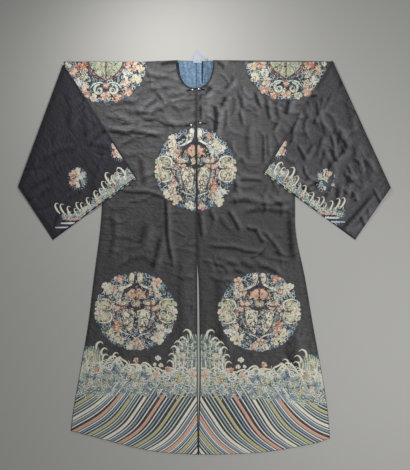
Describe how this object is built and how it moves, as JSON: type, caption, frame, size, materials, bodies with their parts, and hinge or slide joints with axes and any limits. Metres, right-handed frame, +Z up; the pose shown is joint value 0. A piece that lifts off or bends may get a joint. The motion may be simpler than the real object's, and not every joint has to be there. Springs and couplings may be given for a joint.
{
  "type": "silk surcoat laid flat",
  "caption": "Long wide-sleeved silk surcoat with centre front opening, laid flat face up with both sleeves folded forward over the fronts.",
  "frame": {"origin": "on the surface that the coat lies on, under the middle of its bounding box", "axes": "+Y from hem to neck, +X to the right of a viewer looking down at the front, +Z up from the surface"},
  "size_m": [1.324, 1.439, 0.0136],
  "materials": {
    "charcoal_silk": "closely woven satin silk, soft sheen",
    "dark_binding": "narrow dark silk binding and cord",
    "blue_lining": "plain pale blue silk lining",
    "pale_ribbon": "pale woven tape",
    "silver_ball": "small polished white metal balls",
    "embroidery": "satin stitch silk embroidery in blues, cream, coral and olive"
  },
  "bodies": {
    "root": {"body_left": "charcoal_silk", "body_right": "charcoal_silk", "sleeve_left": "charcoal_silk", "sleeve_right": "charcoal_silk", "front_binding_left": "dark_binding", "front_binding_right": "dark_binding", "cuff_binding_left": "dark_binding", "cuff_binding_right": "dark_binding", "neck_binding": "dark_binding", "neck_lining_left": "blue_lining", "neck_lining_right": "blue_lining", "neck_tape": "pale_ribbon", "toggle_ball_neck_left": "silver_ball", "toggle_ball_neck_right": "silver_ball", "toggle_ball_chest_left": "silver_ball", "toggle_ball_chest_right": "silver_ball", "toggle_cord_neck_left": "dark_binding", "toggle_cord_neck_right": "dark_binding", "toggle_cord_chest_left": "dark_binding", "toggle_cord_chest_right": "dark_binding"}
  },
  "joints": []
}
